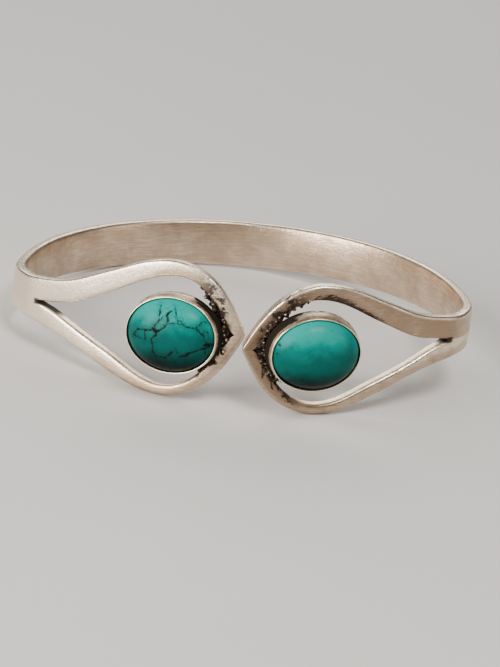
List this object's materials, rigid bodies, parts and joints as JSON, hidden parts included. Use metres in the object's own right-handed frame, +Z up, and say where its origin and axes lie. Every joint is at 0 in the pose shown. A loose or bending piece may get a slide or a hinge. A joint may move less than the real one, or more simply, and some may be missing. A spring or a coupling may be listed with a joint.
{
  "type": "cuff bracelet",
  "caption": "Open metal cuff bracelet: a plain back band forks into strands that open into an eye behind each oval domed stone in a rimmed setting.",
  "frame": {"origin": "centre of the bounding box in plan, on the surface the cuff rests on", "axes": "+Z up, -Y toward the front with the stones and the gap, +X toward the right stone as seen from the front"},
  "size_m": [0.0618, 0.052, 0.0182],
  "materials": {
    "silver": "worn silver, warm tone, dark tarnish in the slots and round the settings",
    "veined_turquoise": "polished turquoise with a network of dark veins",
    "plain_turquoise": "polished turquoise, nearly plain"
  },
  "bodies": {
    "root": {"cuff": "silver", "left_stone": "veined_turquoise", "right_stone": "plain_turquoise"}
  },
  "joints": []
}
